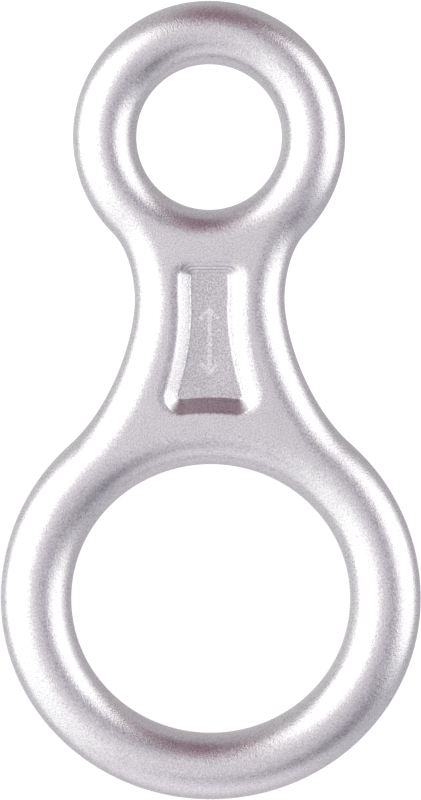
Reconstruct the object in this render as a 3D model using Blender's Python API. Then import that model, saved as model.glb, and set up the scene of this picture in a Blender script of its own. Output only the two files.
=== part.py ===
"""Figure-eight descender: a belay device forged in one piece of aluminium.

It hangs upright. Z is its long axis, Y runs through its thickness and the front faces -Y.
The origin is the centre of the small eye. All sizes are in metres.

Only the right half of the front is drawn, clockwise from its top. The left half and the back
are mirrored from it. A rim is a rounded edge: a quarter of an ellipse that climbs from the
outline, in the middle plane, to its crest, where the face runs flat.
"""
import math

import bmesh
import bpy
from mathutils import Matrix, Vector
from mathutils.geometry import interpolate_bezier

# Small eye, a round hole for the carabiner, and the ring round it
SMALL_EYE_DIAMETER = 0.0266
SMALL_RING_WIDTH = 0.0116

# Large eye, an oval hole for the rope, and the ring round it
EYE_SPACING = 0.0844
LARGE_EYE_WIDTH = 0.0510
LARGE_EYE_HEIGHT = 0.0491
LARGE_RING_SIDE = 0.0129
LARGE_RING_END = 0.01215
LARGE_RING_CROWN = 0.01345

# Waist: its narrowest place, and where its edge leaves one ring and meets the other
WAIST_WIDTH = 0.0274
WAIST_DROP = 0.0295
NECK_ANGLE = math.radians(-44.6)
SHOULDER_ANGLE = math.radians(48.0)
NECK_HANDLES = (0.40, 0.14)
SHOULDER_HANDLES = (0.25, 0.35)

# Section
THICKNESS = 0.0114
WAIST_RIM = 0.0062
SMALL_EYE_RIM = 0.0058
LARGE_EYE_RIM = 0.0060

# Recess in each face of the waist: the flat land left between its wall and the crests round it
RECESS_TOP_LAND = 0.0034
RECESS_END_LAND = 0.0026
RECESS_SIDE_LAND = 0.0001
RECESS_SIDE_LAND_AT_END = 0.00145
RECESS_DEPTH = 0.0021
RECESS_CORNER = 0.0005

# Recess wall: a floor fillet, a straight slope, an edge fillet and a gentle roll into the face.
# The side walls have a shelf between the last two. The top wall is squeezed to be narrower.
WALL_ANGLE = math.radians(40.0)
END_WALL_ANGLE = math.radians(35.5)
FLOOR_FILLET = 0.00095
EDGE_FILLET = 0.0017
END_FILLET_SCALE = 0.7
SIDE_SHELF = 0.00055
TOP_SQUEEZE = 0.68
ROLL_ANGLE = math.radians(10.5)
ROLL_RADIUS = 0.0042

# Straight steps that stand for each round stretch
SMALL_RING_STEPS = 13
LARGE_RING_CROWN_STEPS = 5
LARGE_RING_END_STEPS = 10
NECK_STEPS = 6
SHOULDER_STEPS = 8
EYE_WEB_STEPS = 5
RIM_STEPS = 6
RECESS_SIDE_STEPS = 7
RECESS_END_STEPS = 3
CORNER_STEPS = 3
FILLET_STEPS = 2

MERGE_DISTANCE = 0.00001

# Satin, bead-blasted metal with no coating
ALUMINIUM_COLOUR = (0.80, 0.78, 0.79, 1.0)
ALUMINIUM_ROUGHNESS = 0.38
ALUMINIUM_METALLIC = 1.0


def at(x, z):
    """A point or a way in the middle plane of the thickness."""
    return Vector((x, 0.0, z))


def mix(a, b, share):
    return a + (b - a) * share


def spaced(start, end, steps):
    """Evenly spaced numbers from start to end, both included."""
    return [mix(start, end, i / steps) for i in range(steps + 1)]


def ease(share):
    """Go from 0 to 1 with no slope at either end."""
    return share * share * (3.0 - 2.0 * share)


# The four closed curves, each by the angle round its own eye


def small_eye(angle):
    radius = SMALL_EYE_DIAMETER / 2
    return at(radius * math.cos(angle), radius * math.sin(angle))


def small_ring(angle):
    radius = SMALL_EYE_DIAMETER / 2 + SMALL_RING_WIDTH
    return at(radius * math.cos(angle), radius * math.sin(angle))


def large_eye(angle):
    x = LARGE_EYE_WIDTH / 2 * math.cos(angle)
    z = LARGE_EYE_HEIGHT / 2 * math.sin(angle)
    return at(x, z - EYE_SPACING)


def large_ring(angle):
    """This one is a little taller towards the waist than at its end."""
    wall = LARGE_RING_CROWN if angle > 0.0 else LARGE_RING_END
    x = (LARGE_EYE_WIDTH / 2 + LARGE_RING_SIDE) * math.cos(angle)
    z = (LARGE_EYE_HEIGHT / 2 + wall) * math.sin(angle)
    return at(x, z - EYE_SPACING)


def clockwise(curve, angle):
    """Unit way along a curve."""
    step = 0.001
    return (curve(angle - step) - curve(angle + step)).normalized()


def outward(eye, ring, angle):
    """Unit way from an eye to the ring's outer edge."""
    return (ring(angle) - eye(angle)).normalized()


# Edges and crests


def ring_rims(eye, ring, angles):
    """A stretch of ring: its inner and outer edges, and the one crest that both rims share."""
    inner = [eye(angle) for angle in angles]
    outer = [ring(angle) for angle in angles]
    crest = [(a + b) / 2 for a, b in zip(inner, outer)]
    return inner, outer, crest


def eye_web_rim(eye, ring, fork, middle, middle_width):
    """Edge and crest of an eye where it faces the waist, from the fork of the crests inwards."""
    fork_width = (ring(fork) - eye(fork)).length / 2
    edge = []
    crest = []
    for share in spaced(0.0, 1.0, EYE_WEB_STEPS):
        angle = mix(fork, middle, share)
        width = mix(fork_width, middle_width, ease(share))
        edge.append(eye(angle))
        crest.append(eye(angle) + outward(eye, ring, angle) * width)
    return edge, crest


def blend(start, start_way, end, end_way, handles, steps):
    """A Bezier stretch whose handle lengths are shares of the distance it spans."""
    span = (end - start).length
    first = start + start_way * span * handles[0]
    second = end - end_way * span * handles[1]
    return interpolate_bezier(start, first, second, end, steps + 1)


def inward_ways(points):
    """Unit ways into the metal along an edge that runs clockwise, without its two ends."""
    ways = []
    for before, after in zip(points, points[2:]):
        way = (after - before).normalized()
        ways.append(at(way.z, -way.x))
    return ways


def waist_rim():
    """Edge, inward ways and crest of the waist, from the small ring to the large one."""
    start = small_ring(NECK_ANGLE)
    narrowest = at(WAIST_WIDTH / 2, -WAIST_DROP)
    end = large_ring(SHOULDER_ANGLE)
    down = at(0.0, -1.0)
    start_way = clockwise(small_ring, NECK_ANGLE)
    end_way = clockwise(large_ring, SHOULDER_ANGLE)
    neck = blend(start, start_way, narrowest, down, NECK_HANDLES, NECK_STEPS)
    shoulder = blend(narrowest, down, end, end_way, SHOULDER_HANDLES, SHOULDER_STEPS)
    edge = neck + shoulder[1:]
    ways = [-outward(small_eye, small_ring, NECK_ANGLE)]
    ways += inward_ways(edge)
    ways.append(-outward(large_eye, large_ring, SHOULDER_ANGLE))
    start_width = SMALL_RING_WIDTH / 2
    end_width = (end - large_eye(SHOULDER_ANGLE)).length / 2
    widths = [mix(start_width, WAIST_RIM, ease(share)) for share in spaced(0.0, 1.0, NECK_STEPS)]
    shares = spaced(0.0, 1.0, SHOULDER_STEPS)[1:]
    widths += [mix(WAIST_RIM, end_width, ease(share)) for share in shares]
    crest = [point + way * width for point, way, width in zip(edge, ways, widths)]
    return edge, ways, crest


# Recess


def arc_steps(radius, start, end):
    """Run and rise along an arc in the wall's section, between two slopes."""
    slopes = spaced(start, end, FILLET_STEPS)[1:]
    runs = [radius * abs(math.sin(slope) - math.sin(start)) for slope in slopes]
    rises = [radius * abs(math.cos(slope) - math.cos(start)) for slope in slopes]
    return list(zip(runs, rises))


def wall_section(angle, fillet_scale, shelf):
    """A wall from floor to face: (distance out from the floor, depth) pairs."""
    floor_arc = arc_steps(FLOOR_FILLET * fillet_scale, 0.0, angle)
    edge_arc = arc_steps(EDGE_FILLET * fillet_scale, angle, ROLL_ANGLE)
    ramp = [(shelf, shelf * math.tan(ROLL_ANGLE))]
    roll_arc = arc_steps(ROLL_RADIUS * fillet_scale, ROLL_ANGLE, 0.0)
    rise = RECESS_DEPTH - sum(stretch[-1][1] for stretch in (floor_arc, edge_arc, ramp, roll_arc))
    straight = [(rise / math.tan(angle), rise)]
    section = [Vector((0.0, RECESS_DEPTH))]
    for stretch in (floor_arc, straight, edge_arc, ramp, roll_arc):
        out, depth = section[-1]
        section += [Vector((out + run, depth - lift)) for run, lift in stretch]
    return section


def top_section():
    """The wall at the recess's upper end."""
    section = wall_section(WALL_ANGLE, 1.0, 0.0)
    return [Vector((out * TOP_SQUEEZE, depth)) for out, depth in section]


def side_section():
    """The wall along the recess's side."""
    return wall_section(WALL_ANGLE, 1.0, SIDE_SHELF)


def end_section():
    """The wall at the recess's lower end."""
    return wall_section(END_WALL_ANGLE, END_FILLET_SCALE, 0.0)


def recess_end_radii():
    """Half width and half height of the oval, round the large eye, that the floor ends on."""
    gap = LARGE_EYE_RIM + RECESS_END_LAND + end_section()[-1][0]
    return LARGE_EYE_WIDTH / 2 + gap, LARGE_EYE_HEIGHT / 2 + gap


def recess_end(x):
    """Height of the floor's end."""
    half_width, half_height = recess_end_radii()
    return half_height * math.sqrt(1.0 - (x / half_width) ** 2) - EYE_SPACING


def recess_end_way(x):
    """Unit way out of the floor across its end."""
    half_width, half_height = recess_end_radii()
    rise = recess_end(x) + EYE_SPACING
    return -at(x / half_width ** 2, rise / half_height ** 2).normalized()


def recess_side(crest, ways):
    """Points of the floor's right side, from the narrowest place of the waist down.

    The side runs straight above its first point, which keeps it clear of the neck's crest.
    """
    top = -WAIST_DROP
    drop = top - recess_end(0.0)
    reach = side_section()[-1][0]
    side = []
    for point, way in list(zip(crest, ways))[NECK_STEPS:]:
        land = mix(RECESS_SIDE_LAND, RECESS_SIDE_LAND_AT_END, (top - point.z) / drop)
        side.append(point + way * (land + reach))
    neck = min(point.x for point in crest[:NECK_STEPS])
    side[0].x = min(side[0].x, neck - RECESS_SIDE_LAND - reach)
    return side


def half_width_at(side, z):
    """Half width of the floor at a height."""
    for before, after in zip(side, side[1:]):
        if before.z >= z >= after.z:
            return mix(before.x, after.x, (before.z - z) / (before.z - after.z))
    return side[0].x


def side_end(side):
    """Where the floor's side meets its end, and the unit way out of the floor there."""
    for before, after in zip(side, side[1:]):
        above = before.z - recess_end(before.x)
        below = recess_end(after.x) - after.z
        if above >= 0.0 and below >= 0.0:
            way = (after - before).normalized()
            return mix(before, after, above / (above + below)), at(-way.z, way.x)
    raise ValueError("The recess runs past the shoulder")


def round_corner(tip, first_way, last_way, first_section, last_section):
    """A small rounded corner, over which one section of the wall turns into the other."""
    reach = RECESS_CORNER / (1.0 + first_way.dot(last_way))
    centre = tip - (first_way + last_way) * reach
    sweep = first_way.angle(last_way)
    corner = []
    for share in spaced(0.0, 1.0, CORNER_STEPS):
        way = Matrix.Rotation(sweep * share, 3, 'Y') @ first_way
        section = [mix(a, b, ease(share)) for a, b in zip(first_section, last_section)]
        corner.append((centre + way * RECESS_CORNER, way, section))
    return corner


def recess_floor(crest, ways):
    """Right half of the floor's edge, clockwise: points, ways out and sections of the wall."""
    top_wall = top_section()
    side_wall = side_section()
    end_wall = end_section()
    up = at(0.0, 1.0)
    side = recess_side(crest, ways)
    top = -SMALL_EYE_DIAMETER / 2 - SMALL_EYE_RIM - RECESS_TOP_LAND - top_wall[-1][0]
    top_corner = round_corner(at(side[0].x, top), up, at(1.0, 0.0), top_wall, side_wall)
    tip, side_way = side_end(side)
    end_corner = round_corner(tip, side_way, recess_end_way(tip.x), side_wall, end_wall)
    heights = spaced(top_corner[-1][0].z, end_corner[0][0].z, RECESS_SIDE_STEPS)
    points = [at(half_width_at(side, z), z) for z in heights]
    point_ways = [-way for way in inward_ways(points)]
    across = spaced(0.0, top_corner[0][0].x, RECESS_END_STEPS)
    floor = [(at(x, top), up, top_wall) for x in across[:-1]]
    floor += top_corner
    floor += [(point, way, side_wall) for point, way in zip(points[1:-1], point_ways)]
    floor += end_corner
    for x in spaced(end_corner[-1][0].x, 0.0, RECESS_END_STEPS)[1:]:
        floor.append((at(x, recess_end(x)), recess_end_way(x), end_wall))
    return floor


# Surfaces


def add_skin(bm, rows):
    """Faces between rows of points that have the same number of points."""
    grid = [[bm.verts.new(point) for point in row] for row in rows]
    for lower, upper in zip(grid, grid[1:]):
        for i in range(len(lower) - 1):
            bm.faces.new((lower[i], lower[i + 1], upper[i + 1], upper[i]))


def add_flat(bm, points, depth):
    """One flat face at a depth below the front."""
    lift = Vector((0.0, depth - THICKNESS / 2, 0.0))
    bm.faces.new([bm.verts.new(point + lift) for point in points])


def add_rim(bm, edge, crest):
    """The quarter ellipse that joins an edge to its crest."""
    rows = []
    for turn in spaced(0.0, math.pi / 2, RIM_STEPS):
        share = 1.0 - math.cos(turn)
        lift = Vector((0.0, -THICKNESS / 2 * math.sin(turn), 0.0))
        rows.append([mix(a, b, share) + lift for a, b in zip(edge, crest)])
    add_skin(bm, rows)


def add_recess(bm, floor):
    """Floor and wall of the recess. Gives back the edge where the wall meets the face."""
    rows = []
    for section_row in zip(*(section for _, _, section in floor)):
        row = []
        for (point, way, _), (out, depth) in zip(floor, section_row):
            row.append(point + way * out + Vector((0.0, depth - THICKNESS / 2, 0.0)))
        rows.append(row)
    add_skin(bm, rows)
    add_flat(bm, [point for point, _, _ in floor], RECESS_DEPTH)
    return [point + way * section[-1][0] for point, way, section in floor]


def add_front_half(bm):
    top = math.pi / 2
    angles = spaced(top, NECK_ANGLE, SMALL_RING_STEPS)
    inner, outer, crest = ring_rims(small_eye, small_ring, angles)
    add_rim(bm, inner, crest)
    add_rim(bm, outer, crest)
    angles = spaced(SHOULDER_ANGLE, 0.0, LARGE_RING_CROWN_STEPS)
    angles += spaced(0.0, -top, LARGE_RING_END_STEPS)[1:]
    inner, outer, crest = ring_rims(large_eye, large_ring, angles)
    add_rim(bm, inner, crest)
    add_rim(bm, outer, crest)
    edge, small_crest = eye_web_rim(small_eye, small_ring, NECK_ANGLE, -top, SMALL_EYE_RIM)
    add_rim(bm, edge, small_crest)
    edge, large_crest = eye_web_rim(large_eye, large_ring, SHOULDER_ANGLE, top, LARGE_EYE_RIM)
    add_rim(bm, edge, large_crest)
    edge, ways, waist_crest = waist_rim()
    add_rim(bm, edge, waist_crest)
    recess_edge = add_recess(bm, recess_floor(waist_crest, ways))
    add_flat(bm, small_crest + recess_edge + large_crest[::-1] + waist_crest[-2:0:-1], 0.0)


def build_mesh():
    bm = bmesh.new()
    add_front_half(bm)
    bmesh.ops.remove_doubles(bm, verts=bm.verts, dist=MERGE_DISTANCE)
    for axis in "XY":
        geometry = bm.verts[:] + bm.edges[:] + bm.faces[:]
        bmesh.ops.mirror(bm, geom=geometry, merge_dist=MERGE_DISTANCE, axis=axis)
    bmesh.ops.triangulate(bm, faces=[face for face in bm.faces if len(face.verts) > 4])
    bmesh.ops.recalc_face_normals(bm, faces=bm.faces)
    mesh = bpy.data.meshes.new("descender_body")
    bm.to_mesh(mesh)
    bm.free()
    mesh.shade_smooth()
    return mesh


def aluminium():
    material = bpy.data.materials.new("aluminium")
    material.use_nodes = True
    shader = material.node_tree.nodes["Principled BSDF"]
    shader.inputs["Base Color"].default_value = ALUMINIUM_COLOUR
    shader.inputs["Roughness"].default_value = ALUMINIUM_ROUGHNESS
    shader.inputs["Metallic"].default_value = ALUMINIUM_METALLIC
    return material


def clear_scene():
    for thing in list(bpy.data.objects):
        bpy.data.objects.remove(thing, do_unlink=True)


def main():
    clear_scene()
    body = bpy.data.objects.new("descender_body", build_mesh())
    body.data.materials.append(aluminium())
    bpy.context.scene.collection.objects.link(body)


main()
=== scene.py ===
"""Looks of a figure-eight descender: one smooth forging in satin aluminium, on a white stage.

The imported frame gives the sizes. Z is the long axis and the front faces -Y, in metres.
A rim is a rounded edge: a quarter of an ellipse that climbs from the outline, in the middle
plane, to its crest, where the face runs flat. Only the right half of the front is drawn,
clockwise from its top, and the rest is mirrored from it.
"""

import math

import bmesh
import bpy
from bpy.props import FloatProperty, FloatVectorProperty, PointerProperty
from mathutils import Matrix, Vector
from mathutils.geometry import interpolate_bezier


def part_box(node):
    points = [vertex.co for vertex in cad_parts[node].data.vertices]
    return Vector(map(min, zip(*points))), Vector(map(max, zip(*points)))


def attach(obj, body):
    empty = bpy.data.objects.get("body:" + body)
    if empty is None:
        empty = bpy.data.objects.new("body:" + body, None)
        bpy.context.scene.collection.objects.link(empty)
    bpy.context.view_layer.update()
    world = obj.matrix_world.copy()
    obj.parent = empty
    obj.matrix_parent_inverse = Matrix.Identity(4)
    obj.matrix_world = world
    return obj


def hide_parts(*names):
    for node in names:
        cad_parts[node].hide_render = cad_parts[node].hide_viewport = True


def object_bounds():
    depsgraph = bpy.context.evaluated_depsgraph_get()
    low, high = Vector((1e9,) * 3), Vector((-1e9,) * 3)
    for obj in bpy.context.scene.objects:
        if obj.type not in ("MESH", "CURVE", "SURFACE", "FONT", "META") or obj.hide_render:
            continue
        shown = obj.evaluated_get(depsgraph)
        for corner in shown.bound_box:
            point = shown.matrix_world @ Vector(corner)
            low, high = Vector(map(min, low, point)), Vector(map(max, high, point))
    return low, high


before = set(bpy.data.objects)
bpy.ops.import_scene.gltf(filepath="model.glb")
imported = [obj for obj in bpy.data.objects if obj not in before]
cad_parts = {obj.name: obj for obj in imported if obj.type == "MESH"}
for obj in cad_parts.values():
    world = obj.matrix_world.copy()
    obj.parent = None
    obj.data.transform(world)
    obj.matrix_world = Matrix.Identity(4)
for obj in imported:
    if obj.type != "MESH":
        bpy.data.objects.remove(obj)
cad_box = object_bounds()

bl_info = {
    "name": "Figure-eight descender",
    "version": (1, 0, 0),
    "blender": (4, 5, 0),
    "location": "3D View > Sidebar > Descender",
    "description": "Builds the smooth body, the load arrow and the stage of a figure-eight descender",
    "category": "Object",
}

NODE = "descender_body"

# Two points this close are one point
TOUCH = 0.000001

# Straight steps that stand for each stretch
SMALL_RING_STEPS = 70
LARGE_RING_CROWN_STEPS = 26
LARGE_RING_END_STEPS = 52
NECK_STEPS = 26
SHOULDER_STEPS = 40
EYE_WEB_STEPS = 24
RIM_STEPS = 20
RECESS_SIDE_STEPS = 36
RECESS_END_STEPS = 10
CORNER_STEPS = 10
WALL_STEPS = 16
FILLET_STEPS = 6
ARROW_EDGE_STEPS = 3

# Small steps in the recess's upper wall
RIPPLES = 3

# Shares of the recess's depth over which the wall's finish turns into the floor's, where the floor's
# colour is darkened with painted shade
FLOOR_SHADE_AND_FINISH = (0.70, 0.95)

# How much the grain, the mottle and the recess floors change the metal's roughness
GRAIN_ROUGHNESS = 0.10
MOTTLE_ROUGHNESS = 0.05
FLOOR_ROUGHNESS = 0.03

# The stage's floor
FLOOR_WHITE = (0.92, 0.92, 0.92)
FLOOR_MATTNESS = 0.9


# Values that a user would change


class DescenderForm(bpy.types.PropertyGroup):
    """Shape that the frame doesn't give."""

    crown: FloatProperty(
        name="Ring crown",
        description="Width the large ring would have where the waist joins it",
        default=0.01345,
        unit="LENGTH",
    )
    neck_angle: FloatProperty(
        name="Neck angle",
        description="Where the waist leaves the small ring",
        default=math.radians(-44.6),
        subtype="ANGLE",
    )
    shoulder_angle: FloatProperty(
        name="Shoulder angle",
        description="Where the waist meets the large ring",
        default=math.radians(48.0),
        subtype="ANGLE",
    )
    waist_rim: FloatProperty(
        name="Waist rim",
        description="Width of the rounded edge at the narrowest place",
        default=0.0062,
        unit="LENGTH",
    )
    small_eye_rim: FloatProperty(
        name="Small eye rim",
        description="Width of the small eye's rounded edge towards the waist",
        default=0.0058,
        unit="LENGTH",
    )
    large_eye_rim: FloatProperty(
        name="Large eye rim",
        description="Width of the large eye's rounded edge towards the waist",
        default=0.0060,
        unit="LENGTH",
    )
    top_land: FloatProperty(
        name="Land above the recess",
        description="Flat left between the small eye's rim and the recess",
        default=0.0034,
        unit="LENGTH",
    )
    end_land: FloatProperty(
        name="Land below the recess",
        description="Flat left between the large eye's rim and the recess",
        default=0.0026,
        unit="LENGTH",
    )
    side_land: FloatProperty(
        name="Land beside the recess",
        description="Flat left between the waist's rim and the recess, at the narrowest place",
        default=0.0001,
        unit="LENGTH",
    )
    side_land_at_end: FloatProperty(
        name="Land beside the recess's end",
        description="Flat left between the waist's rim and the recess, at its lower end",
        default=0.00145,
        unit="LENGTH",
    )
    recess_depth: FloatProperty(
        name="Recess depth",
        description="How deep the recess is in each face",
        default=0.0021,
        unit="LENGTH",
    )
    recess_corner: FloatProperty(
        name="Recess corner",
        description="Corner radius of the recess floor",
        default=0.0005,
        unit="LENGTH",
    )
    wall_angle: FloatProperty(
        name="Recess wall angle",
        description="Slope of the recess wall",
        default=math.radians(40.0),
        subtype="ANGLE",
    )
    end_wall_angle: FloatProperty(
        name="Lower wall angle",
        description="Slope of the recess wall at its lower end",
        default=math.radians(35.5),
        subtype="ANGLE",
    )
    floor_fillet: FloatProperty(
        name="Floor fillet",
        description="Radius between the recess floor and its wall",
        default=0.00095,
        unit="LENGTH",
    )
    edge_fillet: FloatProperty(
        name="Edge fillet",
        description="Radius between the recess wall and the roll of the face",
        default=0.0017,
        unit="LENGTH",
    )
    roll_angle: FloatProperty(
        name="Roll angle",
        description="Slope that the face reaches as it rolls into the recess",
        default=math.radians(10.5),
        subtype="ANGLE",
    )
    roll_radius: FloatProperty(
        name="Roll radius",
        description="Radius of the face as it rolls into the recess",
        default=0.0042,
        unit="LENGTH",
    )
    end_fillet_scale: FloatProperty(
        name="Lower fillet scale",
        description="Size of the lower wall's fillets beside those of the other walls",
        default=0.7,
    )
    side_shelf: FloatProperty(
        name="Side shelf",
        description="Width of the gentle slope above each side wall",
        default=0.00055,
        unit="LENGTH",
    )
    top_squeeze: FloatProperty(
        name="Upper wall squeeze",
        description="Width of the upper wall, as a share of what its slope and fillets ask for",
        default=0.68,
    )
    ripple: FloatProperty(
        name="Upper wall ripple",
        description="How far the small steps in the upper wall stand out of its slope",
        default=0.00012,
        unit="LENGTH",
    )


class DescenderArrow(bpy.types.PropertyGroup):
    """The raised arrow that shows which way the load runs."""

    length: FloatProperty(
        name="Length",
        description="Tip to tip",
        default=0.0125,
        unit="LENGTH",
    )
    width: FloatProperty(
        name="Head width",
        description="Width of each head",
        default=0.0040,
        unit="LENGTH",
    )
    stroke: FloatProperty(
        name="Stroke",
        description="Width of the lines",
        default=0.0008,
        unit="LENGTH",
    )
    drop: FloatProperty(
        name="Drop",
        description="How far its middle is below the middle of the small eye",
        default=0.0374,
        unit="LENGTH",
    )
    height: FloatProperty(
        name="Height",
        description="How far it stands out of the recess floor",
        default=0.00018,
        unit="LENGTH",
    )
    root: FloatProperty(
        name="Root",
        description="How far it reaches into the recess floor",
        default=0.000054,
        unit="LENGTH",
    )


class DescenderFinish(bpy.types.PropertyGroup):
    """Blasted aluminium."""

    colour: FloatVectorProperty(
        name="Colour",
        description="Colour of the bare metal",
        default=(0.76, 0.75, 0.76),
        subtype="COLOR",
        min=0.0,
        max=1.0,
    )
    roughness: FloatProperty(
        name="Roughness",
        description="Spread of the metal's reflections",
        default=0.29,
        min=0.0,
        max=1.0,
    )
    grain: FloatProperty(
        name="Grain",
        description="Size of the dimples that blasting leaves",
        default=0.00026,
        unit="LENGTH",
    )
    grain_depth: FloatProperty(
        name="Grain depth",
        description="Depth of the dimples",
        default=0.00004,
        unit="LENGTH",
    )
    wave: FloatProperty(
        name="Wave",
        description="Size of the faint waves in the surface",
        default=0.009,
        unit="LENGTH",
    )
    wave_depth: FloatProperty(
        name="Wave depth",
        description="Depth of the waves",
        default=0.00005,
        unit="LENGTH",
    )
    mottle: FloatProperty(
        name="Mottle",
        description="Size of the spots that differ a little in tone",
        default=0.004,
        unit="LENGTH",
    )
    mottle_contrast: FloatProperty(
        name="Mottle contrast",
        description="How much the spots differ in tone",
        default=0.12,
    )
    # Painted shade: how much darker the colour of the recess floors is made, for the shade that falls
    # in the recesses
    painted_floor_shade: FloatProperty(
        name="Painted floor shade",
        description="How much less light the recess floors give back",
        default=0.10,
        min=0.0,
        max=1.0,
    )
    floor_speckle: FloatProperty(
        name="Floor speckle",
        description="How much more the recess floors are speckled",
        default=0.35,
    )
    arrow_lift: FloatProperty(
        name="Arrow lift",
        description="How much lighter the rubbed arrow is",
        default=1.3,
    )


class DescenderStage(bpy.types.PropertyGroup):
    """Floor, light and camera."""

    floor_gap: FloatProperty(
        name="Floor gap",
        description="Height at which the descender hangs over the floor",
        default=0.03,
        unit="LENGTH",
    )
    floor_reach: FloatProperty(
        name="Floor reach",
        description="How far the floor runs from its middle to each side",
        default=6.0,
        unit="LENGTH",
    )
    lens: FloatProperty(
        name="Lens",
        description="Focal length in millimetres",
        default=200.0,
    )
    frame_height: FloatProperty(
        name="Frame height",
        description="Height of the picture at the object",
        default=0.14631,
        unit="LENGTH",
    )
    aside: FloatProperty(
        name="Aside",
        description="How far the camera stands to the right of the middle",
        default=0.000084,
        unit="LENGTH",
    )
    roll: FloatProperty(
        name="Roll",
        description="Turn of the camera about its line of sight",
        default=math.radians(0.204),
        subtype="ANGLE",
    )
    room_light: FloatProperty(
        name="Room light",
        description="Strength of the light from all round",
        default=1.15,
    )
    floor_light: FloatProperty(
        name="Floor light",
        description="Strength of the soft light on the floor",
        default=1.45,
    )
    floor_light_spread: FloatProperty(
        name="Floor light spread",
        description="Width of the soft light on the floor, which softens the shadow",
        default=math.radians(60.0),
        subtype="ANGLE",
    )


# Shader maths


class Wire:
    """An output socket that takes part in sums. Each sum adds its Math node."""

    def __init__(self, shading, socket):
        self.shading = shading
        self.socket = socket

    def __add__(self, other):
        return self.shading.maths("ADD", self, other)

    __radd__ = __add__

    def __sub__(self, other):
        return self.shading.maths("SUBTRACT", self, other)

    def __rsub__(self, other):
        return self.shading.maths("SUBTRACT", other, self)

    def __mul__(self, other):
        return self.shading.maths("MULTIPLY", self, other)

    __rmul__ = __mul__

    def __neg__(self):
        return self.shading.maths("MULTIPLY", self, -1.0)

    def __pow__(self, other):
        return self.shading.maths("POWER", self, other)

    def __abs__(self):
        return self.shading.maths("ABSOLUTE", self)


class Shading:
    """Adds nodes to one tree."""

    def __init__(self, tree):
        self.tree = tree
        tree.nodes.clear()

    def node(self, kind, settings=None, *inputs, output=0, **named):
        """Add a node. Its settings come first, then its inputs by order and by name."""
        made = self.tree.nodes.new(kind)
        for name, value in (settings or {}).items():
            if name == "stops":
                self.set_stops(made.color_ramp, value)
            else:
                setattr(made, name, value)
        for socket, value in zip(made.inputs, inputs):
            self.feed(socket, value)
        for name, value in named.items():
            self.feed(made.inputs[name.replace("_", " ")], value)
        return Wire(self, made.outputs[output]) if made.outputs else made

    def feed(self, socket, value):
        """Link a wire to an input, or set the input to a value."""
        if isinstance(value, Wire):
            self.tree.links.new(value.socket, socket)
        else:
            socket.default_value = value

    @staticmethod
    def set_stops(ramp, stops):
        while len(ramp.elements) < len(stops):
            ramp.elements.new(1.0)
        for element, (place, colour) in zip(ramp.elements, stops):
            element.position = place
            element.color = (*colour, 1.0)

    def maths(self, operation, *values):
        return self.node("ShaderNodeMath", {"operation": operation}, *values)

    def parts(self, vector):
        """The three numbers of a vector."""
        first = self.node("ShaderNodeSeparateXYZ", None, vector)
        return [Wire(self, socket) for socket in first.socket.node.outputs]

    def climb(self, value, start, end):
        """Go smoothly from 0 to 1 while a value goes from start to end."""
        settings = {"interpolation_type": "SMOOTHSTEP"}
        return self.node("ShaderNodeMapRange", settings, value, start, end, 0.0, 1.0)

    def blend(self, factor, first, second, kind="MIX"):
        """Mix two colours. The Mix node keeps its colour sockets behind those for numbers."""
        settings = {"data_type": "RGBA", "blend_type": kind}
        made = self.node("ShaderNodeMix", settings).socket.node
        self.feed(made.inputs[0], factor)
        self.feed(made.inputs[6], first)
        self.feed(made.inputs[7], second)
        return Wire(self, made.outputs[2])


# Plane geometry


def at(x, z):
    """A point or a way in the middle plane of the thickness."""
    return Vector((x, 0.0, z))


def mix(a, b, share):
    return a + (b - a) * share


def spaced(start, end, steps):
    """Evenly spaced numbers from start to end, both included."""
    return [mix(start, end, i / steps) for i in range(steps + 1)]


def ease(share):
    """Go from 0 to 1 with no slope at either end."""
    return share * share * (3.0 - 2.0 * share)


def blend_curve(start, start_way, end, end_way, handles, steps):
    """A Bezier stretch whose handle lengths are shares of the distance it spans."""
    span = (end - start).length
    first = start + start_way * span * handles[0]
    second = end - end_way * span * handles[1]
    return interpolate_bezier(start, first, second, end, steps + 1)


def inward_ways(points):
    """Unit ways into the metal along an edge that runs clockwise, without its two ends."""
    ways = []
    for before, after in zip(points, points[2:]):
        way = (after - before).normalized()
        ways.append(at(way.z, -way.x))
    return ways


class Eye:
    """An oval hole and the ring round it. Both are curves by the angle round the centre."""

    def __init__(self, height, hole, ring, ring_crown=None):
        self.height = height
        self.hole_radii = hole
        self.ring_radii = ring
        self.ring_crown = ring_crown or ring[1]

    def hole(self, angle):
        x = self.hole_radii[0] * math.cos(angle)
        z = self.hole_radii[1] * math.sin(angle)
        return at(x, self.height + z)

    def ring(self, angle):
        reach = self.ring_crown if angle > 0.0 else self.ring_radii[1]
        x = self.ring_radii[0] * math.cos(angle)
        return at(x, self.height + reach * math.sin(angle))

    def ring_way(self, angle):
        """Unit way along the ring, clockwise."""
        step = 0.001
        return (self.ring(angle - step) - self.ring(angle + step)).normalized()

    def outward(self, angle):
        return (self.ring(angle) - self.hole(angle)).normalized()

    def half_width(self, angle):
        return (self.ring(angle) - self.hole(angle)).length / 2

    def rims(self, angles):
        """A stretch of ring: its inner and outer edges, and the crest both rims share."""
        inner = [self.hole(angle) for angle in angles]
        outer = [self.ring(angle) for angle in angles]
        crest = [(a + b) / 2 for a, b in zip(inner, outer)]
        return inner, outer, crest

    def web_rim(self, fork, middle, middle_width):
        """Edge and crest of the hole where it faces the waist."""
        edge = []
        crest = []
        for share in spaced(0.0, 1.0, EYE_WEB_STEPS):
            angle = mix(fork, middle, share)
            width = mix(self.half_width(fork), middle_width, ease(share))
            edge.append(self.hole(angle))
            crest.append(self.hole(angle) + self.outward(angle) * width)
        return edge, crest


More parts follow.
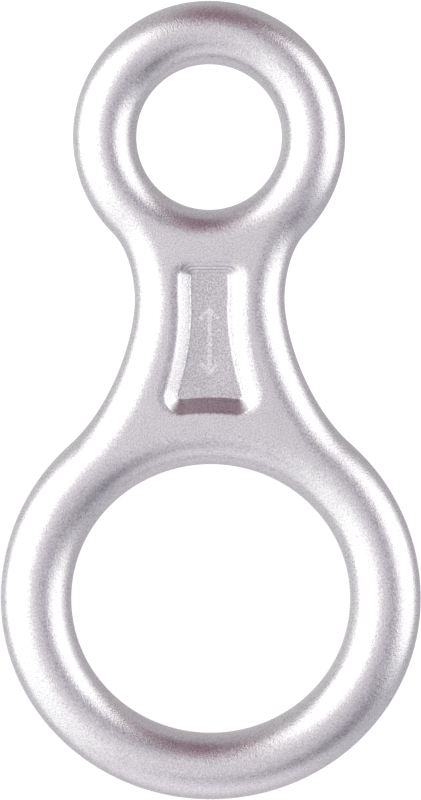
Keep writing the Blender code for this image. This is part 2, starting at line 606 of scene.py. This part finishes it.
class EightShape:
    """The whole figure in the plane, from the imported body's own points and the form values."""

    neck_handles = (0.40, 0.14)
    shoulder_handles = (0.25, 0.35)

    def __init__(self, form):
        self.form = form
        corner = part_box(NODE)[1]
        self.half_thickness = corner.y
        points = [vertex.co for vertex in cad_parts[NODE].data.vertices]
        points = [point for point in points if abs(point.y) < TOUCH]
        on_axis = {round(point.z, 6) for point in points if abs(point.x) < TOUCH}
        top, small_top, small_end, large_top, large_end, end = sorted(on_axis, reverse=True)
        centre = (large_top + large_end) / 2
        beside = [abs(point.x) for point in points if abs(point.z - centre) < TOUCH]
        waist = [point for point in points if large_top + TOUCH < point.z < small_end - TOUCH]
        narrowest = min(waist, key=lambda point: abs(point.x))
        self.narrowest = at(abs(narrowest.x), narrowest.z)
        small_height = (small_top + small_end) / 2
        small_radius = (small_top - small_end) / 2
        ring_radius = top - small_height
        self.small = Eye(small_height, (small_radius,) * 2, (ring_radius,) * 2)
        hole = (min(beside), (large_top - large_end) / 2)
        self.large = Eye(centre, hole, (corner.x, centre - end), hole[1] + form.crown)

    def waist_rim(self):
        """Edge, inward ways and crest of the waist, from the small ring to the large one."""
        neck_angle = self.form.neck_angle
        shoulder_angle = self.form.shoulder_angle
        start = self.small.ring(neck_angle)
        end = self.large.ring(shoulder_angle)
        down = at(0.0, -1.0)
        start_way = self.small.ring_way(neck_angle)
        end_way = self.large.ring_way(shoulder_angle)
        neck = blend_curve(start, start_way, self.narrowest, down, self.neck_handles, NECK_STEPS)
        shoulder = blend_curve(
            self.narrowest, down, end, end_way, self.shoulder_handles, SHOULDER_STEPS
        )
        edge = neck + shoulder[1:]
        ways = [-self.small.outward(neck_angle)]
        ways += inward_ways(edge)
        ways.append(-self.large.outward(shoulder_angle))
        rim = self.form.waist_rim
        neck_rim = self.small.half_width(neck_angle)
        shoulder_rim = self.large.half_width(shoulder_angle)
        widths = [mix(neck_rim, rim, ease(share)) for share in spaced(0.0, 1.0, NECK_STEPS)]
        for share in spaced(0.0, 1.0, SHOULDER_STEPS)[1:]:
            widths.append(mix(rim, shoulder_rim, ease(share)))
        crest = [point + way * width for point, way, width in zip(edge, ways, widths)]
        return edge, ways, crest


class Recess:
    """The recess in one face: its floor's edge and the sections of its wall."""

    def __init__(self, shape, crest, ways):
        form = shape.form
        small = shape.small
        large = shape.large
        self.form = form
        self.top_section = [
            Vector((out * form.top_squeeze, depth))
            for out, depth in self.wall_section(form.wall_angle, ripple=form.ripple)
        ]
        self.side_section = self.wall_section(form.wall_angle, shelf=form.side_shelf)
        self.end_section = self.wall_section(form.end_wall_angle, form.end_fillet_scale)
        gap = form.small_eye_rim + form.top_land + self.top_section[-1][0]
        self.top = small.height - small.hole_radii[1] - gap
        gap = form.large_eye_rim + form.end_land + self.end_section[-1][0]
        self.end_radii = (large.hole_radii[0] + gap, large.hole_radii[1] + gap)
        self.end_height = large.height
        self.side = self.floor_side(shape.narrowest.z, crest, ways)

    def arc(self, radius, start, end):
        """Run and rise along an arc in the wall's section, between two slopes."""
        slopes = spaced(start, end, FILLET_STEPS)[1:]
        runs = [radius * abs(math.sin(slope) - math.sin(start)) for slope in slopes]
        rises = [radius * abs(math.cos(slope) - math.cos(start)) for slope in slopes]
        return list(zip(runs, rises))

    def wall_section(self, angle, fillet_scale=1.0, shelf=0.0, ripple=0.0):
        """The wall from floor to face: (distance out from the floor, depth) pairs.

        A shelf is a gentle slope above the wall. A ripple leaves small steps in the wall.
        """
        form = self.form
        floor_arc = self.arc(form.floor_fillet * fillet_scale, 0.0, angle)
        edge_arc = self.arc(form.edge_fillet * fillet_scale, angle, form.roll_angle)
        ramp = [(shelf, shelf * math.tan(form.roll_angle))]
        roll_arc = self.arc(form.roll_radius * fillet_scale, form.roll_angle, 0.0)
        curved = (floor_arc, edge_arc, ramp, roll_arc)
        rise = form.recess_depth - sum(stretch[-1][1] for stretch in curved)
        straight = [(lift / math.tan(angle), lift) for lift in spaced(0.0, rise, WALL_STEPS)[1:]]
        section = [(0.0, form.recess_depth)]
        for stretch in (floor_arc, straight, edge_arc, ramp, roll_arc):
            out, depth = section[-1]
            section += [(out + run, depth - lift) for run, lift in stretch]
        wave = 2.0 * math.pi * RIPPLES / form.recess_depth
        return [Vector((out + ripple * math.sin(wave * depth), depth)) for out, depth in section]

    def end(self, x):
        """Height of the floor's end, which runs round the large eye."""
        share = math.sqrt(1.0 - (x / self.end_radii[0]) ** 2)
        return self.end_height + self.end_radii[1] * share

    def end_way(self, x):
        """Unit way out of the floor across its end."""
        rise = self.end(x) - self.end_height
        return -at(x / self.end_radii[0] ** 2, rise / self.end_radii[1] ** 2).normalized()

    def floor_side(self, waist, crest, ways):
        """Points of the floor's right side, from the narrowest place of the waist down."""
        drop = waist - self.end(0.0)
        reach = self.side_section[-1][0]
        side = []
        for point, way in list(zip(crest, ways))[NECK_STEPS:]:
            share = (waist - point.z) / drop
            land = mix(self.form.side_land, self.form.side_land_at_end, share)
            side.append(point + way * (land + reach))
        return side

    def half_width(self, z):
        """Half width of the floor. Above the waist's narrowest place its sides run straight."""
        for before, after in zip(self.side, self.side[1:]):
            if before.z >= z >= after.z:
                return mix(before.x, after.x, (before.z - z) / (before.z - after.z))
        return self.side[0].x

    def side_end(self):
        """Where the side meets the end, and the unit way out of the floor there."""
        for before, after in zip(self.side, self.side[1:]):
            above = before.z - self.end(before.x)
            below = self.end(after.x) - after.z
            if above >= 0.0 and below >= 0.0:
                way = (after - before).normalized()
                return mix(before, after, above / (above + below)), at(-way.z, way.x)
        raise ValueError("The recess runs past the shoulder")

    def round_corner(self, tip, first_way, last_way, first_section, last_section):
        """A small rounded corner, over which one section of the wall turns into the other."""
        radius = self.form.recess_corner
        centre = tip - (first_way + last_way) * (radius / (1.0 + first_way.dot(last_way)))
        turn = first_way.angle(last_way)
        corner = []
        for share in spaced(0.0, 1.0, CORNER_STEPS):
            way = Matrix.Rotation(turn * share, 3, "Y") @ first_way
            pairs = zip(first_section, last_section)
            section = [mix(first, last, ease(share)) for first, last in pairs]
            corner.append((centre + way * radius, way, section))
        return corner

    def floor(self):
        """Right half of the floor's edge, clockwise: points, ways out and wall sections."""
        up = at(0.0, 1.0)
        right = at(1.0, 0.0)
        top_corner = self.round_corner(
            at(self.side[0].x, self.top), up, right, self.top_section, self.side_section
        )
        tip, side_way = self.side_end()
        end_corner = self.round_corner(
            tip, side_way, self.end_way(tip.x), self.side_section, self.end_section
        )
        heights = spaced(top_corner[-1][0].z, end_corner[0][0].z, RECESS_SIDE_STEPS)
        wall = [at(self.half_width(z), z) for z in heights]
        wall_ways = [-way for way in inward_ways(wall)]
        across = spaced(0.0, top_corner[0][0].x, RECESS_END_STEPS)
        floor = [(at(x, self.top), up, self.top_section) for x in across[:-1]]
        floor += top_corner
        floor += [(point, way, self.side_section) for point, way in zip(wall[1:-1], wall_ways)]
        floor += end_corner
        for x in spaced(end_corner[-1][0].x, 0.0, RECESS_END_STEPS)[1:]:
            floor.append((at(x, self.end(x)), self.end_way(x), self.end_section))
        return floor


# Surfaces


class FrontHalf:
    """Faces of the front's right half."""

    def __init__(self, bm, shape):
        self.bm = bm
        self.shape = shape
        self.face_y = -shape.half_thickness

    def add_skin(self, rows):
        """Faces between rows of points that have the same number of points."""
        grid = [[self.bm.verts.new(point) for point in row] for row in rows]
        for lower, upper in zip(grid, grid[1:]):
            for i in range(len(lower) - 1):
                self.bm.faces.new((lower[i], lower[i + 1], upper[i + 1], upper[i]))

    def add_flat(self, points, depth):
        """One flat face at a depth below the front."""
        lift = Vector((0.0, self.face_y + depth, 0.0))
        self.bm.faces.new([self.bm.verts.new(point + lift) for point in points])

    def add_rim(self, edge, crest):
        """The quarter ellipse that joins an edge to its crest."""
        rows = []
        for turn in spaced(0.0, math.pi / 2, RIM_STEPS):
            share = 1.0 - math.cos(turn)
            lift = Vector((0.0, self.face_y * math.sin(turn), 0.0))
            rows.append([mix(a, b, share) + lift for a, b in zip(edge, crest)])
        self.add_skin(rows)

    def add_ring(self, eye, angles):
        inner, outer, crest = eye.rims(angles)
        self.add_rim(inner, crest)
        self.add_rim(outer, crest)

    def add_recess(self, recess):
        """Floor and wall of the recess. Gives back the edge where the wall meets the face."""
        floor = recess.floor()
        rows = []
        for place in range(len(recess.side_section)):
            row = []
            for point, way, section in floor:
                out, depth = section[place]
                row.append(point + way * out + Vector((0.0, self.face_y + depth, 0.0)))
            rows.append(row)
        self.add_skin(rows)
        self.add_flat([point for point, _, _ in floor], self.shape.form.recess_depth)
        return [point + way * section[-1][0] for point, way, section in floor]

    def add_all(self):
        shape = self.shape
        form = shape.form
        top = math.pi / 2
        self.add_ring(shape.small, spaced(top, form.neck_angle, SMALL_RING_STEPS))
        crown = spaced(form.shoulder_angle, 0.0, LARGE_RING_CROWN_STEPS)
        self.add_ring(shape.large, crown + spaced(0.0, -top, LARGE_RING_END_STEPS)[1:])
        edge, small_crest = shape.small.web_rim(form.neck_angle, -top, form.small_eye_rim)
        self.add_rim(edge, small_crest)
        edge, large_crest = shape.large.web_rim(form.shoulder_angle, top, form.large_eye_rim)
        self.add_rim(edge, large_crest)
        edge, ways, waist_crest = shape.waist_rim()
        self.add_rim(edge, waist_crest)
        recess_edge = self.add_recess(Recess(shape, waist_crest, ways))
        around = small_crest + recess_edge + large_crest[::-1] + waist_crest[-2:0:-1]
        self.add_flat(around, 0.0)


def mirror_all(bm, axes):
    for axis in axes:
        geometry = bm.verts[:] + bm.edges[:] + bm.faces[:]
        bmesh.ops.mirror(bm, geom=geometry, merge_dist=TOUCH, axis=axis)


def finished_piece(name, bm, material):
    """An object in the body's alloy that rides on the body."""
    bmesh.ops.recalc_face_normals(bm, faces=bm.faces)
    mesh = bpy.data.meshes.new(name)
    bm.to_mesh(mesh)
    bm.free()
    mesh.materials.append(material)
    piece = bpy.data.objects.new(name, mesh)
    bpy.context.scene.collection.objects.link(piece)
    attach(piece, "root")
    return piece


def body_mesh(form):
    bm = bmesh.new()
    FrontHalf(bm, EightShape(form)).add_all()
    bmesh.ops.remove_doubles(bm, verts=bm.verts, dist=TOUCH)
    mirror_all(bm, "XY")
    bmesh.ops.triangulate(bm, faces=[face for face in bm.faces if len(face.verts) > 4])
    return bm


def arrow_outline(arrow):
    """The double-headed arrow's outline in the plane, round its own middle."""
    tip = arrow.length / 2
    wing = arrow.width / 2
    stem = arrow.stroke / 2
    slant = arrow.stroke * math.sqrt(0.5)
    under = tip - slant * 2
    half = [
        at(stem, 0.0),
        at(stem, under - stem),
        at(wing - slant, under - wing + slant),
        at(wing, tip - wing),
        at(0.0, tip),
    ]
    half += [at(-point.x, point.z) for point in reversed(half[:-1])]
    return half[:-1] + [-point for point in half[:-1]]


def arrow_mesh(arrow, floor_y):
    """The arrow stands out of the recess floor and reaches a little way into it."""
    top = Vector((0.0, floor_y - arrow.height, -arrow.drop))
    bm = bmesh.new()
    face = bm.faces.new([bm.verts.new(point + top) for point in arrow_outline(arrow)])
    edges = list(face.edges)
    base = bmesh.ops.extrude_face_region(bm, geom=[face], use_keep_orig=True)["geom"]
    sunk = [item for item in base if isinstance(item, bmesh.types.BMVert)]
    bmesh.ops.translate(bm, verts=sunk, vec=(0.0, arrow.height + arrow.root, 0.0))
    bevel = arrow.height / 2
    bmesh.ops.bevel(bm, geom=edges, offset=bevel, segments=ARROW_EDGE_STEPS, affect="EDGES")
    return bm


# Finish


def recess_mask(shading, place, form):
    """1 on the floors of the recesses and 0 on the rest of the metal: where their painted shade,
    extra speckle and roughness go.
    """
    shape = EightShape(form)
    side = shape.narrowest.x - form.waist_rim
    top = shape.small.height - shape.small.hole_radii[1] - form.small_eye_rim
    end = shape.large.height + shape.large.hole_radii[1] + form.large_eye_rim
    x, y, z = shading.parts(place)
    start, full = (form.recess_depth * share for share in FLOOR_SHADE_AND_FINISH)
    mask = shading.climb(shape.half_thickness - abs(y), start, full)
    for room in (side - abs(x), top - z, z - end):
        mask = mask * shading.climb(room, 0.0, form.recess_corner)
    return mask


def blasted_aluminium(name, finish, form, lift=1.0):
    """Bare metal with fine dimples, a slight unevenness of tone and a faint waviness.

    The recess floors are rougher and more speckled than the rest, and their colour is darkened with
    painted shade.
    """
    material = bpy.data.materials.new(name)
    material.use_nodes = True
    shading = Shading(material.node_tree)
    place = shading.node("ShaderNodeTexCoord", output="Object")

    def noise(size, detail, roughness=0.6):
        """Noise that swings about 0."""
        swing = shading.node(
            "ShaderNodeTexNoise",
            Vector=place,
            Scale=1.0 / size,
            Detail=detail,
            Roughness=roughness,
        )
        return swing - 0.5

    def dents(depth, height, **under):
        """Surface directions of dents, over those of the coarser dents under them."""
        return shading.node(
            "ShaderNodeBump", Strength=1.0, Distance=depth, Height=height, **under
        )

    grain = noise(finish.grain, detail=1.0, roughness=0.5)
    mottle = noise(finish.mottle, detail=3.0)
    floor = recess_mask(shading, place, form)
    tone = 1.0 + grain * (1.0 + floor * finish.floor_speckle)
    # Painted shade: the colour of the recess floors is darkened
    tone = tone + mottle * finish.mottle_contrast - floor * finish.painted_floor_shade
    grey = shading.node("ShaderNodeCombineXYZ", None, tone, tone, tone)
    colour = tuple(value * lift for value in finish.colour)
    base = shading.blend(1.0, (*colour, 1.0), grey, "MULTIPLY")
    rough = finish.roughness + grain * GRAIN_ROUGHNESS + mottle * MOTTLE_ROUGHNESS
    rough = rough + floor * FLOOR_ROUGHNESS
    waves = dents(finish.wave_depth, noise(finish.wave, detail=1.0))
    dimples = dents(finish.grain_depth, grain, Normal=waves)
    metal = shading.node(
        "ShaderNodeBsdfPrincipled",
        Base_Color=base,
        Metallic=1.0,
        Roughness=rough,
        Normal=dimples,
    )
    shading.node("ShaderNodeOutputMaterial", None, metal)
    return material


def plain_white(name):
    material = bpy.data.materials.new(name)
    material.use_nodes = True
    shading = Shading(material.node_tree)
    surface = shading.node(
        "ShaderNodeBsdfPrincipled", Base_Color=(*FLOOR_WHITE, 1.0), Roughness=FLOOR_MATTNESS
    )
    shading.node("ShaderNodeOutputMaterial", None, surface)
    return material


# Stage


class Patch:
    """A soft-edged, rounded patch of the room, by its place and its half sizes in degrees.

    It turns from the camera's side, to the right, and rises from the level. Its softness is a
    share of its size, and its lean says how fast its middle rises as it turns.
    """

    roundness = 3.0

    def __init__(self, turn, rise, half_width, half_height, softness, colour, lean=0.0):
        self.turn = math.radians(turn)
        self.rise = math.radians(rise)
        self.half_width = math.radians(half_width)
        self.half_height = math.radians(half_height)
        self.softness = softness
        self.colour = colour
        self.lean = lean

    def cover(self, shading, turn, rise):
        """How much of the patch covers each way that light comes from."""
        aside = turn - self.turn
        above = rise - self.rise - aside * self.lean
        across = abs(aside) * (1.0 / self.half_width)
        along = abs(above) * (1.0 / self.half_height)
        out = (across ** self.roundness + along ** self.roundness) ** (1.0 / self.roundness)
        return 1.0 - shading.climb(out, 1.0 - self.softness, 1.0 + self.softness)


# The room's own light on each side, from straight below to straight above
LEFT_ROOM = (
    (0.00, (0.90, 0.86, 0.91)),
    (0.18, (0.84, 0.81, 0.86)),
    (0.30, (0.60, 0.59, 0.62)),
    (0.50, (0.62, 0.61, 0.63)),
    (0.72, (0.54, 0.53, 0.55)),
    (0.88, (0.47, 0.45, 0.47)),
    (0.96, (0.38, 0.33, 0.36)),
)
RIGHT_ROOM = (
    (0.00, (0.84, 0.80, 0.85)),
    (0.14, (0.72, 0.69, 0.74)),
    (0.25, (0.50, 0.48, 0.53)),
    (0.50, (0.46, 0.44, 0.47)),
    (0.72, (0.44, 0.42, 0.44)),
    (0.88, (0.47, 0.45, 0.47)),
    (0.96, (0.38, 0.33, 0.36)),
)
ZENITH = (0.34, 0.26, 0.30)
BACK_OF_FLOOR = (0.60, 0.58, 0.61)
WHITE = (1.0, 1.0, 1.0)

# Over these parts of the light's direction one part of the room gives way to the next
SIDES_MEET = (-0.5, 0.5)
ZENITH_OPENS = (0.95, 0.99)
BACK_OPENS = (0.1, 0.6)
LEVEL_ENDS = (0.3, 0.7)

FRONT_WALL = Patch(14, -2, 30, 44, 0.4, (0.41, 0.38, 0.44))
FRONT_WALL_MIDDLE = Patch(-6, -4, 15, 34, 0.6, (0.74, 0.71, 0.74))
FRONT_WALL_FOOT = Patch(6, -24, 15, 12, 0.7, (0.70, 0.67, 0.72))
CEILING = Patch(20, 63, 60, 18, 0.4, (0.25, 0.17, 0.205), -0.04)
CEILING_EDGE = Patch(5, 50, 18, 18, 0.7, (0.22, 0.115, 0.155))
RIGHT_CORNER = Patch(42, -38, 20, 13, 0.5, (0.22, 0.21, 0.24))
CEILING_MIDDLE = Patch(5, 67, 14, 9, 0.6, (0.16, 0.09, 0.125))
LEFT_LIGHT_FOOT = Patch(-60, -25, 43, 23, 0.22, (1.14, 1.14, 1.14), 0.2)
LEFT_LIGHT = Patch(-60, 14, 44, 33, 0.15, (1.55, 1.55, 1.55), 0.2)
RIGHT_LIGHT = Patch(69, 12, 34, 32, 0.15, (1.36, 1.36, 1.36), -0.25)

# Each patch covers what comes before it
PATCHES = (
    FRONT_WALL,
    FRONT_WALL_MIDDLE,
    FRONT_WALL_FOOT,
    CEILING,
    CEILING_EDGE,
    RIGHT_CORNER,
    CEILING_MIDDLE,
    LEFT_LIGHT_FOOT,
    LEFT_LIGHT,
    RIGHT_LIGHT,
)


def light_room(stage):
    """Light from all round: a bright panel on each side, a dark ceiling and a pale floor."""
    world = bpy.data.worlds.new("studio")
    world.use_nodes = True
    bpy.context.scene.world = world
    shading = Shading(world.node_tree)
    x, y, z = shading.parts(shading.node("ShaderNodeTexCoord", output="Generated"))
    turn = shading.maths("ARCTAN2", x, -y)
    rise = shading.maths("ARCSINE", z)
    height = rise * (1.0 / math.pi) + 0.5
    left = shading.node("ShaderNodeValToRGB", {"stops": LEFT_ROOM}, height)
    right = shading.node("ShaderNodeValToRGB", {"stops": RIGHT_ROOM}, height)
    room = shading.blend(shading.climb(x, *SIDES_MEET), left, right)
    room = shading.blend(shading.climb(z, *ZENITH_OPENS), room, (*ZENITH, 1.0))
    back_of_floor = shading.climb(y, *BACK_OPENS) * shading.climb(-z, *LEVEL_ENDS)
    room = shading.blend(back_of_floor, room, (*BACK_OF_FLOOR, 1.0))
    for patch in PATCHES:
        room = shading.blend(patch.cover(shading, turn, rise), room, (*patch.colour, 1.0))
    seen = shading.node("ShaderNodeLightPath", output="Is Camera Ray")
    shown = shading.blend(seen, room, (*WHITE, 1.0))
    background = shading.node("ShaderNodeBackground", None, shown, stage.room_light)
    shading.node("ShaderNodeOutputWorld", None, background)


def add_floor(stage):
    """A wide white floor. The metal doesn't mirror it: the room stands in for it there."""
    low = cad_box[0]
    bm = bmesh.new()
    bmesh.ops.create_grid(bm, x_segments=1, y_segments=1, size=stage.floor_reach)
    mesh = bpy.data.meshes.new("floor")
    bm.to_mesh(mesh)
    bm.free()
    mesh.materials.append(plain_white("floor_white"))
    floor = bpy.data.objects.new("floor", mesh)
    floor.location.z = low.z - stage.floor_gap
    floor.visible_glossy = False
    bpy.context.scene.collection.objects.link(floor)


def light_floor(stage):
    """Soft light from above, which the floor catches and the metal doesn't mirror."""
    lamp = bpy.data.lights.new("floor_light", "SUN")
    lamp.angle = stage.floor_light_spread
    lamp.energy = stage.floor_light
    light = bpy.data.objects.new("floor_light", lamp)
    light.visible_glossy = False
    bpy.context.scene.collection.objects.link(light)


def add_camera(stage):
    """A long lens square to the front."""
    low, high = cad_box
    lens = bpy.data.cameras.new("camera")
    lens.lens = stage.lens
    camera = bpy.data.objects.new("camera", lens)
    distance = stage.lens * stage.frame_height / lens.sensor_width
    middle = (low + high) / 2
    camera.location = (middle.x + stage.aside, -distance, middle.z)
    camera.rotation_euler = (math.pi / 2, stage.roll, 0.0)
    bpy.context.scene.collection.objects.link(camera)
    bpy.context.scene.camera = camera


# Operators


class DESCENDER_OT_forge_body(bpy.types.Operator):
    """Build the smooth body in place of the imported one"""

    bl_idname = "descender.forge_body"
    bl_label = "Forge body"

    def execute(self, context):
        form = context.scene.descender_form
        metal = blasted_aluminium("blasted_aluminium", context.scene.descender_finish, form)
        body = finished_piece("forged_body", body_mesh(form), metal)
        body.data.shade_smooth()
        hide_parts(NODE)
        return {"FINISHED"}


class DESCENDER_OT_raise_arrow(bpy.types.Operator):
    """Add the raised arrow that shows which way the load runs"""

    bl_idname = "descender.raise_arrow"
    bl_label = "Raise arrow"

    def execute(self, context):
        scene = context.scene
        form = scene.descender_form
        finish = scene.descender_finish
        metal = blasted_aluminium("rubbed_aluminium", finish, form, finish.arrow_lift)
        floor_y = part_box(NODE)[0].y + form.recess_depth
        finished_piece("load_arrow", arrow_mesh(scene.descender_arrow, floor_y), metal)
        return {"FINISHED"}


class DESCENDER_OT_set_stage(bpy.types.Operator):
    """Add the floor, the light and the camera"""

    bl_idname = "descender.set_stage"
    bl_label = "Set stage"

    def execute(self, context):
        stage = context.scene.descender_stage
        light_room(stage)
        add_floor(stage)
        light_floor(stage)
        add_camera(stage)
        context.scene.view_settings.view_transform = "Standard"
        return {"FINISHED"}


class DESCENDER_PT_tools(bpy.types.Panel):
    """Lists the descender's tools"""

    bl_label = "Descender"
    bl_idname = "DESCENDER_PT_tools"
    bl_space_type = "VIEW_3D"
    bl_region_type = "UI"
    bl_category = "Descender"

    def draw(self, context):
        for operator in OPERATORS:
            self.layout.operator(operator.bl_idname)


GROUPS = {
    "descender_form": DescenderForm,
    "descender_arrow": DescenderArrow,
    "descender_finish": DescenderFinish,
    "descender_stage": DescenderStage,
}
OPERATORS = (DESCENDER_OT_forge_body, DESCENDER_OT_raise_arrow, DESCENDER_OT_set_stage)


def register():
    for group in GROUPS.values():
        bpy.utils.register_class(group)
    for name, group in GROUPS.items():
        setattr(bpy.types.Scene, name, PointerProperty(type=group))
    for operator in OPERATORS:
        bpy.utils.register_class(operator)
    bpy.utils.register_class(DESCENDER_PT_tools)


def unregister():
    bpy.utils.unregister_class(DESCENDER_PT_tools)
    for operator in reversed(OPERATORS):
        bpy.utils.unregister_class(operator)
    for name in GROUPS:
        delattr(bpy.types.Scene, name)
    for group in reversed(GROUPS.values()):
        bpy.utils.unregister_class(group)


def main():
    register()
    bpy.ops.descender.forge_body()
    bpy.ops.descender.raise_arrow()
    bpy.ops.descender.set_stage()


if __name__ == "__main__":
    main()
